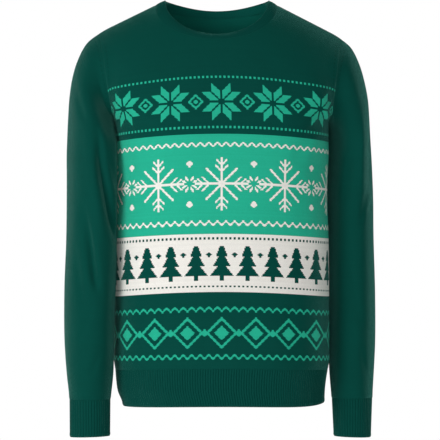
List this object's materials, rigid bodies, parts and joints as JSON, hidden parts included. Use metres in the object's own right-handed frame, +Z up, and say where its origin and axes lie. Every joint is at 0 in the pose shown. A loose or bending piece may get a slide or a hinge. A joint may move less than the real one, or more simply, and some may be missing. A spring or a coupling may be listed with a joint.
{
  "type": "christmas sweater",
  "caption": "Crew-neck knitted jumper, filled out as if worn, with set-in long sleeves hanging down, a ribbed hem and cuffs, and wide contrasting bands round the body.",
  "frame": {"origin": "midway between the high points of the shoulders, beside the neck, where the wearer's shoulders carry the jumper", "axes": "+Z up to the neck opening, the front faces -Y, the wearer's left sleeve is at +X"},
  "size_m": [0.5357, 0.2422, 0.7494],
  "materials": {
    "jersey_front": "knitted jersey, pine green with mint and cream bands and knitted-in motifs",
    "jersey_back": "knitted jersey, pine green with mint and cream bands",
    "jersey_sleeve": "plain knitted jersey, pine green",
    "rib": "one by one ribbing, pine green",
    "neck_trim": "doubled knitted trim, pine green"
  },
  "bodies": {
    "root": {"front": "jersey_front", "back": "jersey_back", "sleeve_right": "jersey_sleeve", "sleeve_left": "jersey_sleeve", "hem_rib_front": "rib", "hem_rib_back": "rib", "cuff_right": "rib", "cuff_left": "rib", "neck_trim": "neck_trim"}
  },
  "joints": []
}
